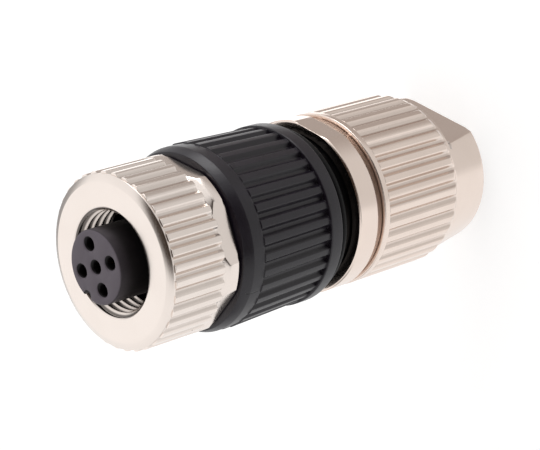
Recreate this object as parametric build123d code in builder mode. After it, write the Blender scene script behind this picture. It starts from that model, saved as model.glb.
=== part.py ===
from build123d import *
import math
import os

# M12 A-coded five-way cable socket that is wired in the field, standing on its cable end.
# Millimetres. The axis is +Z, towards the mating face, and z = 0 is the rear face of the gland nut.
# +X is the side that carries the first contact. Every height is stacked up from the rear.

# Clearances that the fits share
running_gap = 0.05          # radial gap of a thread or a ring that turns on its seat
push_gap = 0.10             # radial gap of a piece that is pushed into a bore
face_gap = 0.05             # axial gap between faces that turn against each other
stop_gap = 0.10             # axial gap left when a screwed joint is home
cutter_margin = 1.0         # how far a cutter reaches past what it cuts

# Lengths along the axis
gland_length = 18.85        # knurled gland nut, rear face to front lip
band_length = 1.1           # turned band between the gland nut and the collar
collar_length = 2.82        # collar of the rear housing
open_gap = 3.0              # neck that shows while the rear housing isn't screwed home
grip_length = 14.68         # grip sleeve
boss_height = 0.23          # thrust face of the grip sleeve behind the coupling nut
nut_length = 9.51           # coupling nut
hex_length = 2.17           # hexagon behind the knurl of the coupling nut
nose_proud = 2.01           # insert in front of the coupling nut

# Travel of the screwed and sliding pieces
nut_play = 1.0              # coupling nut, forwards from its thrust face
unscrew_travel = 2.5        # rear housing, backwards while its thread still holds

# Knurls: straight grooves with sloping flanks
knurl_count = 36
groove_width = 1.05
groove_floor_width = 0.35
groove_depth = 0.46

# Coupling nut, M12 x 1
thread_overlap = 0.45       # how far the thread's crests reach inside the flange of the neck
thread_lead = 0.61
thread_relief = 0.7
relief_height = 3.97        # relief behind the thread, from the rear face of the nut
ring_groove_height = 1.07   # from the rear face of the nut to the snap ring
ring_groove_depth = 0.6
ring_thickness = 0.8
ring_slit = 24.0            # degrees
nut_wall = 2.97             # from the ring groove to the ridges
nut_rear_edge = 0.25
nut_shoulder_edge = 0.15
nut_land_step = 0.72        # radial, from the ridges in to the land in front of the shoulder
nut_land_length = 0.79
nut_face_step = 0.97
nut_knurl_turn = -0.5
hex_flat_depth = 0.62
hex_turn = -2.75

# Contact insert and its five contacts
nose_r = 4.05
nose_edge = 0.15
nose_root_step = 0.2        # the root under the seal is this much larger
insert_body_r = 6.1
insert_body_length = 4.4
pitch_circle = 5.0
mating_pin_r = 0.5
pin_clearance = 0.16
pin_lead = 0.24
chamber_gap = 0.17
chamber_from_face = 1.3
key_r = 0.62
key_inset = 0.07
key_angle = -136.4
key_depth = 6.5
first_contact_angle = -1.4
centre_contact_angle = 43.6
socket_wall = 0.28
socket_bore_length = 8.4
socket_slit_width = 0.22
socket_slit_length = 5.0
socket_setback = 0.15
barb_length = 1.2
barb_below_slit = 3.0
barb_taper = 4              # degrees
arm_width = 1.1
arm_thickness = 0.5
arm_gap = 0.125
fork_inset = 0.8
fork_width = 1.8
fork_thickness = 0.4
fork_slit = 0.34
fork_slit_depth = 2.3
fork_mouth = 0.9
fork_reach = 3.2            # fork behind the retainer
fork_slot_gap = 0.12

# Contact retainer with the two guide posts of the wire organiser
retainer_length = 2.7
retainer_inset = 0.72       # behind the rear face of the grip sleeve
post_r = 0.55
post_inset = 1.6
post_overlap = 1.5          # of a post in the organiser when that is unscrewed
post_angle = 133.6

# Contact housing
nose_wall = 0.75
neck_wall = 0.9
neck_edge = 0.3
housing_wall = 1.5
seat_step = 1.2
seat_edge = 0.2
seat_length = 3.52
neck_flange_step = 0.45
neck_flange_thickness = 0.6
screen_wall = 0.3
screen_lip_thickness = 0.4
insert_seal_setback = 0.6
insert_seal_height = 0.9
insert_seal_edge = 0.3
o_ring_section = 1.4
o_ring_groove = 0.15
o_ring_gap = 0.02

# Grip sleeve
grip_wall = 2.07            # to the ridges at their rear end
grip_flare = 0.3            # radial, of the ridges from their rear end to their front end
grip_flange_proud = 0.17
grip_flange_face_step = 0.4
grip_flange_length = 2.7
grip_flange_chamfer = 1.15
grip_ring_proud = 0.2
grip_ring_length = 1.81
grip_ring_edge = 0.15
grip_front_wall = 0.5
grip_knurl_turn = 0.8
boss_inset = 1.22           # inside the ridges of the coupling nut

# Wire organiser
disc_length = 5.0
disc_below_forks = 0.6
skirt_wall = 0.8
wire_hole_r = 0.85
wire_hole_circle_r = 2.75
wire_channel_r = 0.7
fork_pocket_spare = 0.3
fork_pocket_gap = 0.25

# Rear housing
collar_wall = 1.4
collar_chamfer = 0.18
collar_rear_chamfer = 0.35
collar_bore_edge = 0.15
collar_flat_depth = 0.33
flat_turn = 53.1
band_step = 0.7
stem_wall = 0.75            # around the thread of the neck
stem_chamfer = 0.4
stem_below_seal = 0.1
seal_wall = 1.8             # around the cable seal
seat_wall = 0.8
seat_ledge = 1.5

# Shield ring, cable seal, washer and clamp cage
shield_thickness = 0.8
shield_overhang = 0.5
shield_slit_count = 12
shield_slit_length = 0.8
shield_slit_width = 0.3
seal_length = 2.9
cable_r = 3.3
seal_flare = 0.6
seal_gap = 0.3
washer_thickness = 0.35
cage_land = 1.6             # cylinder between the cone and the front end
cage_base_length = 1.4
cage_bore_step = 0.2
cage_finger_count = 8
cage_finger_slit = 0.7
cage_cone_gap = 0.2

# Gland nut
gland_wall = 1.86
gland_lip_step = 0.03
gland_lip_length = 0.82
gland_lip_chamfer = 0.1
gland_knurl_turn = 4.6
gland_cone_height = 5.8
gland_knee_step = 0.5       # radial, from the ridges in to the knee where the grooves run out
gland_taper = 1.27
gland_rear_edge = 0.5
gland_runout = 1.2
gland_flat_depth = 1.69
gland_flat_margin = 0.95    # from the step of the bore down to the flats
entry_inset = 1.95          # from the cage's radius in to the cable entry
entry_length = 2.0
entry_chamfer = 0.25
entry_cone_step = 0.5
entry_cone_height = 2.9

# Radii of the nose, the neck and the coupling nut, from the inside outwards
nose_root_r = nose_r + nose_root_step
nose_sleeve_r = nose_root_r + push_gap
housing_nose_bore_r = nose_sleeve_r + screen_wall + running_gap
housing_neck_r = housing_nose_bore_r + nose_wall
neck_flange_r = housing_neck_r + neck_flange_step
insert_seal_r = neck_flange_r - insert_seal_setback
thread_minor_r = neck_flange_r - thread_overlap
thread_lead_r = thread_minor_r + thread_lead
thread_relief_r = thread_minor_r + thread_relief
ring_groove_r = thread_relief_r + ring_groove_depth
nut_knurl_r = ring_groove_r + nut_wall
nut_land_r = nut_knurl_r - nut_land_step
nut_face_r = nut_knurl_r - nut_face_step
hex_across_flats = 2 * (nut_knurl_r - hex_flat_depth)
boss_r = nut_knurl_r - boss_inset

# Radii of the contacts
socket_bore_r = mating_pin_r
pin_hole_r = mating_pin_r + pin_clearance
socket_r = socket_bore_r + socket_wall
chamber_r = socket_r + chamber_gap
barb_r = chamber_r - running_gap
key_centre_r = nose_r - key_inset

# Radii of the housings and the grip sleeve, from the insert's body outwards
screen_bore_r = insert_body_r + running_gap
screen_outer_r = screen_bore_r + screen_wall
housing_bore_r = screen_outer_r + running_gap
housing_body_r = housing_bore_r + housing_wall
neck_thread_r = housing_bore_r + neck_wall
screen_lip_r = neck_thread_r - push_gap
seal_seat_r = neck_thread_r + seat_step
grip_bore_r = housing_body_r + running_gap
grip_ridge_r = grip_bore_r + grip_wall
grip_ridge_front_r = grip_ridge_r + grip_flare
grip_flange_r = grip_ridge_r + grip_flange_proud
grip_flange_face_r = grip_flange_r - grip_flange_face_step
grip_ring_r = grip_ridge_r + grip_ring_proud
collar_bore_r = seal_seat_r + running_gap
collar_r = collar_bore_r + collar_wall
collar_across_flats = 2 * (collar_r - collar_flat_depth)
band_r = collar_r - band_step
organiser_r = insert_body_r - push_gap
post_circle_r = organiser_r - post_inset
fork_circle_r = organiser_r - fork_inset

# Radii of the clamp and the gland nut
thread_bore_r = neck_thread_r + running_gap
stem_r = thread_bore_r + stem_wall
seal_bore_r = stem_r - seal_wall
seal_r = seal_bore_r - push_gap
seat_opening_r = seal_bore_r - seat_ledge
shield_bore_r = seat_opening_r - shield_overhang
cage_r = seal_r - push_gap
entry_r = cage_r - entry_inset
cage_bore_r = entry_r + cage_bore_step
cage_seat_r = cage_r + cage_cone_gap
entry_cone_r = entry_r + entry_cone_step
gland_bore_r = stem_r + running_gap
gland_knurl_r = gland_bore_r + gland_wall
gland_lip_r = gland_knurl_r - gland_lip_step
gland_knee_r = gland_knurl_r - gland_knee_step
gland_rear_r = gland_knurl_r - gland_taper
gland_flat_across = 2 * (gland_rear_r - gland_flat_depth)

# Heights of the outside, from the rear face forwards
gland_front_z = gland_length
band_z = gland_front_z + stop_gap
collar_z = band_z + band_length
collar_front_z = collar_z + collar_length
grip_rear_z = collar_front_z + open_gap
grip_front_z = grip_rear_z + grip_length
nut_rear_z = grip_front_z + boss_height + face_gap
nut_front_z = nut_rear_z + nut_length
nut_shoulder_z = nut_front_z - nut_land_length
knurl_rear_z = nut_rear_z + hex_length
nose_z = nut_front_z + nose_proud

# Heights inside the coupling nut
ring_z = nut_rear_z + ring_groove_height
ring_top_z = ring_z + ring_thickness
flange_z = ring_top_z + nut_play + face_gap
housing_front_z = flange_z + neck_flange_thickness
insert_seal_z = housing_front_z + insert_seal_height
nose_root_z = insert_seal_z + stop_gap
relief_z = nut_rear_z + relief_height

# Heights of the clamp, from the cable entry forwards
cone_top_z = entry_length + entry_cone_height
cage_tip_z = entry_length + 2 * cage_cone_gap
cage_top_z = cone_top_z + cage_land
cage_base_z = cage_top_z - cage_base_length
gland_step_z = cage_top_z + stop_gap
gland_flat_z = gland_step_z - gland_flat_margin
washer_z = cage_top_z + face_gap
seal_z = washer_z + washer_thickness + seal_gap
stem_z = seal_z + stem_below_seal
shield_z = seal_z + seal_length + face_gap
seat_wall_z = shield_z + shield_thickness + face_gap
thread_floor_z = seat_wall_z + seat_wall

# Heights of the neck, whose thread fills the room between the screen's lip and the seat
housing_travel = open_gap - o_ring_section - stop_gap
housing_room = housing_travel + stop_gap + face_gap
screen_rear_z = thread_floor_z + housing_room
neck_end_z = screen_rear_z + screen_lip_thickness
seat_z = grip_rear_z - seat_length
counterbore_z = seat_z - housing_room
o_ring_groove_z = grip_rear_z - o_ring_section - stop_gap

# Heights of the contacts and the wire organiser
retainer_z = grip_rear_z - retainer_inset
insert_rear_z = retainer_z + retainer_length
insert_shoulder_z = insert_rear_z + insert_body_length
fork_tip_z = retainer_z - fork_reach
disc_front_z = fork_tip_z - disc_below_forks
disc_rear_z = disc_front_z - disc_length
organiser_rear_z = thread_floor_z + face_gap
post_end_z = disc_front_z - unscrew_travel - post_overlap
fork_pocket_depth = housing_travel + fork_pocket_spare
arm_pocket_depth = arm_thickness + 2 * arm_gap


def cone_radius(height):
    """Radius of the gland nut's inner cone at a height."""
    slope = (cage_seat_r - entry_cone_r) / entry_cone_height
    return entry_cone_r + slope * (height - entry_length)


contact_angles = [first_contact_angle + 90 * quarter for quarter in range(4)]
fork_angles = contact_angles + [centre_contact_angle]


def knurl_cutter(ridge_r, low_z, high_z, flare=0.0):
    """One groove of a straight knurl, along +X. The flare moves its front end outwards."""
    floor_r = ridge_r - groove_depth
    outside_r = ridge_r + cutter_margin
    flank = (groove_width - groove_floor_width) / 2 / groove_depth
    outside_half = groove_floor_width / 2 + flank * (outside_r - floor_r)
    with BuildPart() as cutter:
        with BuildSketch(Plane.XY.offset(low_z)):
            with BuildLine():
                Polyline(
                    (floor_r, -groove_floor_width / 2),
                    (outside_r, -outside_half),
                    (outside_r, outside_half),
                    (floor_r, groove_floor_width / 2),
                    close=True,
                )
            make_face()
        length = high_z - low_z
        extrude(amount=math.hypot(length, flare), dir=Vector(flare, 0, length).normalized())
    return cutter.part


def outwards(angle):
    """Unit vector that points away from the connector's axis."""
    return Vector(math.cos(math.radians(angle)), math.sin(math.radians(angle)), 0)


def radial_place(angle, distance, height):
    """Plane square to the axis, at a distance from it: its X axis points outwards."""
    origin = outwards(angle) * distance + Vector(0, 0, height)
    return Plane(origin=origin, x_dir=outwards(angle), z_dir=(0, 0, 1))


def fork_place(angle, height):
    """Plane at the fork of a contact."""
    return radial_place(angle, fork_circle_r, height)


os.makedirs("parts", exist_ok=True)

# Coupling nut: knurled front, turned hexagon behind it, thread, relief and the groove of its snap ring
hex_half = hex_across_flats / 2
with BuildPart() as coupling_nut:
    with BuildSketch(Plane.XZ):
        with BuildLine():
            Polyline(
                (thread_relief_r, nut_rear_z),
                (nut_knurl_r - nut_rear_edge, nut_rear_z),
                (nut_knurl_r, nut_rear_z + nut_rear_edge),
                (nut_knurl_r, nut_shoulder_z - nut_shoulder_edge),
                (nut_knurl_r - nut_shoulder_edge, nut_shoulder_z),
                (nut_land_r, nut_shoulder_z),
                (nut_face_r, nut_front_z),
                (thread_lead_r, nut_front_z),
                (thread_minor_r, nut_front_z - thread_lead),
                (thread_minor_r, relief_z + thread_relief),
                (thread_relief_r, relief_z),
                (thread_relief_r, ring_top_z + face_gap),
                (ring_groove_r, ring_top_z + face_gap),
                (ring_groove_r, ring_z - face_gap),
                (thread_relief_r, ring_z - face_gap),
                close=True,
            )
        make_face()
    revolve(axis=Axis.Z)
    with BuildSketch(Plane.XY.offset(nut_rear_z)):
        Circle(nut_knurl_r + cutter_margin)
        RegularPolygon(hex_half, 6, major_radius=False, rotation=hex_turn + 30, mode=Mode.SUBTRACT)
    extrude(amount=hex_length, mode=Mode.SUBTRACT)
    nut_groove = knurl_cutter(nut_knurl_r, knurl_rear_z, nut_shoulder_z + cutter_margin)
    with PolarLocations(0, knurl_count, start_angle=nut_knurl_turn):
        add(nut_groove, mode=Mode.SUBTRACT)
coupling_nut.part.label = "coupling_nut"
export_step(coupling_nut.part, "parts/coupling_nut.step")

# Snap ring that keeps the coupling nut on the neck: it rides in the nut's groove
with BuildPart() as retaining_ring:
    with BuildSketch(Plane.XY.offset(ring_z)):
        Circle(ring_groove_r - running_gap)
        Circle(housing_neck_r + running_gap, mode=Mode.SUBTRACT)
        with BuildLine():
            slit_reach = ring_groove_r + cutter_margin
            slit_half = slit_reach * math.tan(math.radians(ring_slit / 2))
            Polyline((0, 0), (slit_reach, -slit_half), (slit_reach, slit_half), close=True)
        make_face(mode=Mode.SUBTRACT)
    extrude(amount=ring_thickness)
retaining_ring.part.label = "retaining_ring"
export_step(retaining_ring.part, "parts/retaining_ring.step")

# Contact insert: nose with five pin holes and the coding keyway, body with the pockets of the contact arms
with BuildPart() as contact_insert:
    with BuildSketch(Plane.XZ):
        with BuildLine():
            Polyline(
                (0, insert_rear_z),
                (insert_body_r, insert_rear_z),
                (insert_body_r, insert_shoulder_z),
                (nose_root_r, insert_shoulder_z),
                (nose_root_r, nose_root_z),
                (nose_r, nose_root_z),
                (nose_r, nose_z - nose_edge),
                (nose_r - nose_edge, nose_z),
                (0, nose_z),
                close=True,
            )
        make_face()
    revolve(axis=Axis.Z)
    hole_centres = [Vector(0, 0, 0)] + [outwards(turn) * (pitch_circle / 2) for turn in contact_angles]
    with BuildSketch(Plane.XY.offset(insert_rear_z)):
        with Locations(*hole_centres):
            Circle(chamber_r)
    extrude(amount=nose_z - chamber_from_face - insert_rear_z, mode=Mode.SUBTRACT)
    with BuildSketch(Plane.XY.offset(nose_z - chamber_from_face)):
        with Locations(*hole_centres):
            Circle(pin_hole_r)
    extrude(amount=chamber_from_face, mode=Mode.SUBTRACT)
    pin_mouths = contact_insert.edges().filter_by(GeomType.CIRCLE).filter_by(
        lambda edge: abs(edge.radius - pin_hole_r) < 1e-4 and abs(edge.center().Z - nose_z) < 1e-4
    )
    chamfer(pin_mouths, length=pin_lead)
    with BuildSketch(Plane.XY.offset(nose_z - key_depth)):
        with PolarLocations(key_centre_r, 1, start_angle=key_angle):
            Circle(key_r)
    extrude(amount=key_depth, mode=Mode.SUBTRACT)
    for turn in fork_angles:
        arm_start = 0 if turn == centre_contact_angle else pitch_circle / 2
        arm_middle = (arm_start + fork_circle_r) / 2
        with BuildSketch(fork_place(turn, insert_rear_z)):
            with Locations((arm_middle - fork_circle_r, 0)):
                Rectangle(fork_circle_r - arm_start, arm_width + 2 * fork_slot_gap)
            Rectangle(fork_thickness + 2 * fork_slot_gap, fork_width + 2 * fork_slot_gap)
        extrude(amount=arm_pocket_depth, mode=Mode.SUBTRACT)
contact_insert.part.label = "contact_insert"
export_step(contact_insert.part, "parts/contact_insert.step")

# Five contacts: a slit socket in front, and a cranked arm that ends in an insulation-piercing fork
socket_top_z = nose_z - chamber_from_face - socket_setback
slit_reach_across = 2 * (socket_r + cutter_margin)
arm_z = insert_rear_z + arm_gap
barb_z = socket_top_z - socket_bore_length - barb_below_slit
for number, turn in enumerate(fork_angles, start=1):
    on_centre = turn == centre_contact_angle
    stem_radius = 0 if on_centre else pitch_circle / 2
    with BuildPart() as contact:
        with BuildSketch(radial_place(turn, stem_radius, arm_z)):
            Circle(socket_r)
        extrude(amount=socket_top_z - arm_z)
        with BuildSketch(radial_place(turn, stem_radius, barb_z)):
            Circle(barb_r)
        extrude(amount=barb_length, taper=barb_taper)
        with BuildSketch(radial_place(turn, stem_radius, socket_top_z - socket_bore_length)):
            Circle(socket_bore_r)
        extrude(amount=socket_bore_length, mode=Mode.SUBTRACT)
        with BuildSketch(radial_place(turn, stem_radius, socket_top_z - socket_slit_length)):
            Rectangle(slit_reach_across, socket_slit_width)
            Rectangle(socket_slit_width, slit_reach_across)
        extrude(amount=socket_slit_length, mode=Mode.SUBTRACT)
        with BuildSketch(fork_place(turn, arm_z)):
            with Locations(((stem_radius - fork_circle_r) / 2, 0)):
                Rectangle(fork_circle_r - stem_radius, arm_width)
            Rectangle(fork_thickness, fork_width)
        extrude(amount=arm_thickness)
        with BuildSketch(fork_place(turn, fork_tip_z)):
            Rectangle(fork_thickness, fork_width)
        extrude(amount=arm_z - fork_tip_z)
        across = fork_place(turn, fork_tip_z)
        with BuildSketch(Plane(origin=across.origin, x_dir=across.y_dir, z_dir=across.x_dir)):
            with BuildLine():
                Polyline(
                    (-fork_mouth / 2, 0),
                    (fork_mouth / 2, 0),
                    (fork_slit / 2, fork_mouth / 2),
                    (fork_slit / 2, fork_slit_depth),
                    (-fork_slit / 2, fork_slit_depth),
                    (-fork_slit / 2, fork_mouth / 2),
                    close=True,
                )
            make_face()
        extrude(amount=fork_thickness, both=True, mode=Mode.SUBTRACT)
    contact.part.label = f"contact_{number}"
    export_step(contact.part, f"parts/contact_{number}.step")

# Contact retainer: the rear insulator that closes the arm pockets, with slots for the forks and two guide posts
with BuildPart() as contact_retainer:
    with BuildSketch(Plane.XY.offset(retainer_z)):
        Circle(insert_body_r)
    extrude(amount=retainer_length)
    for turn in fork_angles:
        with BuildSketch(fork_place(turn, retainer_z)):
            Rectangle(fork_thickness + 2 * fork_slot_gap, fork_width + 2 * fork_slot_gap)
        extrude(amount=retainer_length, mode=Mode.SUBTRACT)
    with BuildSketch(Plane.XY.offset(post_end_z)):
        with PolarLocations(post_circle_r, 2, start_angle=post_angle):
            Circle(post_r)
    extrude(amount=retainer_z - post_end_z)
contact_retainer.part.label = "contact_retainer"
export_step(contact_retainer.part, "parts/contact_retainer.step")

# Screening sleeve: a stepped tube that lines the contact housing from its threaded end to its front
screen_step_z = insert_shoulder_z + face_gap
with BuildPart() as screening_sleeve:
    with BuildSketch(Plane.XZ):
        with BuildLine():
            Polyline(
                (screen_bore_r, screen_rear_z),
                (screen_lip_r, screen_rear_z),
                (screen_lip_r, neck_end_z),
                (screen_outer_r, neck_end_z),
                (screen_outer_r, screen_step_z + screen_wall),
                (nose_sleeve_r + screen_wall, screen_step_z + screen_wall),
                (nose_sleeve_r + screen_wall, housing_front_z),
                (nose_sleeve_r, housing_front_z),
                (nose_sleeve_r, screen_step_z),
                (screen_bore_r, screen_step_z),
                close=True,
            )
        make_face()
    revolve(axis=Axis.Z)
screening_sleeve.part.label = "screening_sleeve"
export_step(screening_sleeve.part, "parts/screening_sleeve.step")

# Contact housing: threaded rear neck, O-ring seat, body under the grip, and the neck that carries the nut
bore_step_z = screen_step_z + screen_wall + face_gap
with BuildPart() as contact_housing:
    with BuildSketch(Plane.XZ):
        with BuildLine():
            Polyline(
                (housing_bore_r, neck_end_z),
                (neck_thread_r - neck_edge, neck_end_z),
                (neck_thread_r, neck_end_z + neck_edge),
                (neck_thread_r, seat_z),
                (seal_seat_r - seat_edge, seat_z),
                (seal_seat_r, seat_z + seat_edge),
                (seal_seat_r, o_ring_groove_z),
                (seal_seat_r - o_ring_groove, o_ring_groove_z),
                (seal_seat_r - o_ring_groove, grip_rear_z),
                (housing_body_r, grip_rear_z),
                (housing_body_r, grip_front_z - grip_front_wall),
                (housing_neck_r, grip_front_z - grip_front_wall),
                (housing_neck_r, flange_z),
                (neck_flange_r, flange_z),
                (neck_flange_r, housing_front_z),
                (housing_nose_bore_r, housing_front_z),
                (housing_nose_bore_r, bore_step_z),
                (housing_bore_r, bore_step_z),
                close=True,
            )
        make_face()
    revolve(axis=Axis.Z)
contact_housing.part.label = "contact_housing"
export_step(contact_housing.part, "parts/contact_housing.step")

# Seal around the insert, against which the mating connector's rim closes
with BuildPart() as insert_seal:
    with BuildSketch(Plane.XZ):
        with BuildLine():
            Polyline(
                (nose_root_r + running_gap, housing_front_z),
                (insert_seal_r, housing_front_z),
                (insert_seal_r, insert_seal_z - insert_seal_edge),
                (insert_seal_r - insert_seal_edge, insert_seal_z),
                (nose_root_r + running_gap, insert_seal_z),
                close=True,
            )
        make_face()
    revolve(axis=Axis.Z)
insert_seal.part.label = "insert_seal"
export_step(insert_seal.part, "parts/insert_seal.step")

# O-ring of the contact housing, in the corner behind the grip sleeve
o_ring_centre_r = seal_seat_r - o_ring_groove + o_ring_section / 2 + o_ring_gap
with BuildPart() as body_o_ring:
    with BuildSketch(Plane.XZ):
        with Locations((o_ring_centre_r, grip_rear_z - o_ring_section / 2 - o_ring_gap)):
            Circle(o_ring_section / 2)
    revolve(axis=Axis.Z)
body_o_ring.part.label = "body_o_ring"
export_step(body_o_ring.part, "parts/body_o_ring.step")

# Grip sleeve: chamfered front flange, long knurl and rear ring
flange_rear_z = grip_front_z - grip_flange_length
ring_front_z = grip_rear_z + grip_ring_length
with BuildPart() as grip_sleeve:
    with BuildSketch(Plane.XZ):
        with BuildLine():
            Polyline(
                (grip_bore_r, grip_rear_z),
                (grip_ring_r - grip_ring_edge, grip_rear_z),
                (grip_ring_r, grip_rear_z + grip_ring_edge),
                (grip_ring_r, ring_front_z),
                (grip_ridge_r, ring_front_z),
                (grip_ridge_front_r, flange_rear_z),
                (grip_flange_r, flange_rear_z),
                (grip_flange_r, grip_front_z - grip_flange_chamfer),
                (grip_flange_face_r, grip_front_z),
                (boss_r, grip_front_z),
                (boss_r, grip_front_z + boss_height),
                (neck_flange_r + push_gap, grip_front_z + boss_height),
                (neck_flange_r + push_gap, grip_front_z - grip_front_wall + running_gap),
                (grip_bore_r, grip_front_z - grip_front_wall + running_gap),
                close=True,
            )
        make_face()
    revolve(axis=Axis.Z)
    grip_groove = knurl_cutter(grip_ridge_r, ring_front_z, flange_rear_z, grip_flare)
    with PolarLocations(0, knurl_count, start_angle=grip_knurl_turn):
        add(grip_groove, mode=Mode.SUBTRACT)
grip_sleeve.part.label = "grip_sleeve"
export_step(grip_sleeve.part, "parts/grip_sleeve.step")

# Wire organiser: five wires come up through its holes, bend into the radial channels and meet the forks there
with BuildPart() as wire_organiser:
    with BuildSketch(Plane.XY.offset(organiser_rear_z)):
        Circle(organiser_r)
        Circle(organiser_r - skirt_wall, mode=Mode.SUBTRACT)
    extrude(amount=disc_rear_z - organiser_rear_z)
    with BuildSketch(Plane.XY.offset(disc_rear_z)):
        Circle(organiser_r)
    extrude(amount=disc_length)
    for turn in fork_angles:
        with BuildSketch(Plane.XY.offset(disc_rear_z)):
            with PolarLocations(wire_hole_circle_r, 1, start_angle=turn):
                Circle(wire_hole_r)
        extrude(amount=disc_length, mode=Mode.SUBTRACT)
        with BuildSketch(fork_place(turn, disc_front_z - fork_pocket_depth)):
            Rectangle(fork_thickness + 2 * fork_pocket_gap, fork_width + 2 * fork_pocket_gap)
        extrude(amount=fork_pocket_depth, mode=Mode.SUBTRACT)
        channel_start = outwards(turn) * wire_hole_circle_r + Vector(0, 0, disc_front_z)
        with BuildSketch(Plane(origin=channel_start, z_dir=outwards(turn), x_dir=(0, 0, 1))):
            Circle(wire_channel_r)
            with Locations((wire_channel_r / 2, 0)):
                Rectangle(wire_channel_r, 2 * wire_channel_r)
        extrude(amount=organiser_r, mode=Mode.SUBTRACT)
    with BuildSketch(Plane.XY.offset(disc_rear_z)):
        with PolarLocations(post_circle_r, 2, start_angle=post_angle):
            Circle(post_r + push_gap)
    extrude(amount=disc_length, mode=Mode.SUBTRACT)
wire_organiser.part.label = "wire_organiser"
export_step(wire_organiser.part, "parts/wire_organiser.step")

# Rear housing: collar with two spanner flats, turned band, and the threaded stem that takes the gland nut
with BuildPart() as rear_housing:
    with BuildSketch(Plane.XZ):
        with BuildLine():
            Polyline(
                (seal_bore_r, stem_z),
                (stem_r - stem_chamfer, stem_z),
                (stem_r, stem_z + stem_chamfer),
                (stem_r, band_z),
                (band_r, band_z),
                (band_r, collar_z - collar_rear_chamfer),
                (collar_r - collar_rear_chamfer, collar_z - collar_rear_chamfer),
                (collar_r, collar_z),
                (collar_r, collar_front_z - collar_chamfer),
                (collar_r - collar_chamfer, collar_front_z),
                (collar_bore_r + collar_bore_edge, collar_front_z),
                (collar_bore_r, collar_front_z - collar_bore_edge),
                (collar_bore_r, counterbore_z),
                (thread_bore_r, counterbore_z),
                (thread_bore_r, thread_floor_z),
                (seat_opening_r, thread_floor_z),
                (seat_opening_r, seat_wall_z),
                (seal_bore_r, seat_wall_z),
                close=True,
            )
        make_face()
    revolve(axis=Axis.Z)
    with BuildSketch(radial_place(flat_turn, 0, collar_z - collar_rear_chamfer)):
        Circle(collar_r + cutter_margin)
        Rectangle(collar_across_flats, 2 * (collar_r + 2 * cutter_margin), mode=Mode.SUBTRACT)
    extrude(amount=collar_rear_chamfer + collar_length, mode=Mode.SUBTRACT)
rear_housing.part.label = "rear_housing"
export_step(rear_housing.part, "parts/rear_housing.step")

# Shield ring: slit metal ring that grips the cable's braid against the seat wall
with BuildPart() as shield_ring:
    with BuildSketch(Plane.XY.offset(shield_z)):
        Circle(seal_r)
        Circle(shield_bore_r, mode=Mode.SUBTRACT)
        with PolarLocations(shield_bore_r, shield_slit_count):
            Rectangle(2 * shield_slit_length, shield_slit_width, mode=Mode.SUBTRACT)
    extrude(amount=shield_thickness)
shield_ring.part.label = "shield_ring"
export_step(shield_ring.part, "parts/shield_ring.step")

# Cable seal: rubber ring with a waisted bore
with BuildPart() as cable_seal:
    with BuildSketch(Plane.XZ):
        with BuildLine():
            Polyline(
                (seal_r, seal_z),
                (seal_r, seal_z + seal_length),
                (cable_r + seal_flare, seal_z + seal_length),
                (cable_r, seal_z + seal_length - seal_flare),
                (cable_r, seal_z + seal_flare),
                (cable_r + seal_flare, seal_z),
                close=True,
            )
        make_face()
    revolve(axis=Axis.Z)
cable_seal.part.label = "cable_seal"
export_step(cable_seal.part, "parts/cable_seal.step")

# Washer between the seal and the clamp cage
with BuildPart() as thrust_washer:
    with BuildSketch(Plane.XY.offset(washer_z)):
        Circle(cage_r)
        Circle(cage_bore_r, mode=Mode.SUBTRACT)
    extrude(amount=washer_thickness)
thrust_washer.part.label = "thrust_washer"
export_step(thrust_washer.part, "parts/thrust_washer.step")

# Clamp cage: a ring with slit fingers, which the gland nut's cone closes on the cable
with BuildPart() as clamp_cage:
    with BuildSketch(Plane.XZ):
        with BuildLine():
            Polyline(
                (cage_bore_r, cage_tip_z),
                (cone_radius(cage_tip_z) - cage_cone_gap, cage_tip_z),
                (cage_r, cone_top_z),
                (cage_r, cage_top_z),
                (cage_bore_r, cage_top_z),
                close=True,
            )
        make_face()
    revolve(axis=Axis.Z)
    with BuildSketch(Plane.XY.offset(cage_tip_z)):
        with PolarLocations(cage_r / 2, cage_finger_count):
            Rectangle(cage_r + 2 * cutter_margin, cage_finger_slit)
    extrude(amount=cage_base_z - cage_tip_z, mode=Mode.SUBTRACT)
clamp_cage.part.label = "clamp_cage"
export_step(clamp_cage.part, "parts/clamp_cage.step")

# Gland nut: knurled barrel that narrows to the cable entry, with two spanner flats
with BuildPart() as gland_nut:
    with BuildSketch(Plane.XZ):
        with BuildLine():
            Polyline(
                (entry_r + entry_chamfer, 0),
                (gland_rear_r - gland_rear_edge, 0),
            )
            RadiusArc(
                (gland_rear_r - gland_rear_edge, 0),
                (gland_rear_r, gland_rear_edge),
                -gland_rear_edge,
            )
            Polyline(
                (gland_rear_r, gland_rear_edge),
                (gland_knee_r, gland_cone_height),
                (gland_knurl_r, gland_cone_height + gland_runout),
                (gland_knurl_r, gland_front_z - gland_lip_length),
                (gland_lip_r, gland_front_z - gland_lip_length),
                (gland_lip_r, gland_front_z - gland_lip_chamfer),
                (gland_lip_r - gland_lip_chamfer, gland_front_z),
                (gland_bore_r, gland_front_z),
                (gland_bore_r, gland_step_z),
                (cage_seat_r, gland_step_z),
                (cage_seat_r, cone_top_z),
                (entry_cone_r, entry_length),
                (entry_r, entry_length),
                (entry_r, entry_chamfer),
                (entry_r + entry_chamfer, 0),
            )
        make_face()
    revolve(axis=Axis.Z)
    with BuildSketch(radial_place(flat_turn, 0, 0)):
        Circle(gland_knurl_r + cutter_margin)
        Rectangle(gland_flat_across, 2 * (gland_knurl_r + 2 * cutter_margin), mode=Mode.SUBTRACT)
    extrude(amount=gland_flat_z, mode=Mode.SUBTRACT)
    gland_groove = knurl_cutter(gland_knurl_r, gland_cone_height, gland_front_z - gland_lip_length)
    with PolarLocations(0, knurl_count, start_angle=gland_knurl_turn):
        add(gland_groove, mode=Mode.SUBTRACT)
gland_nut.part.label = "gland_nut"
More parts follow.
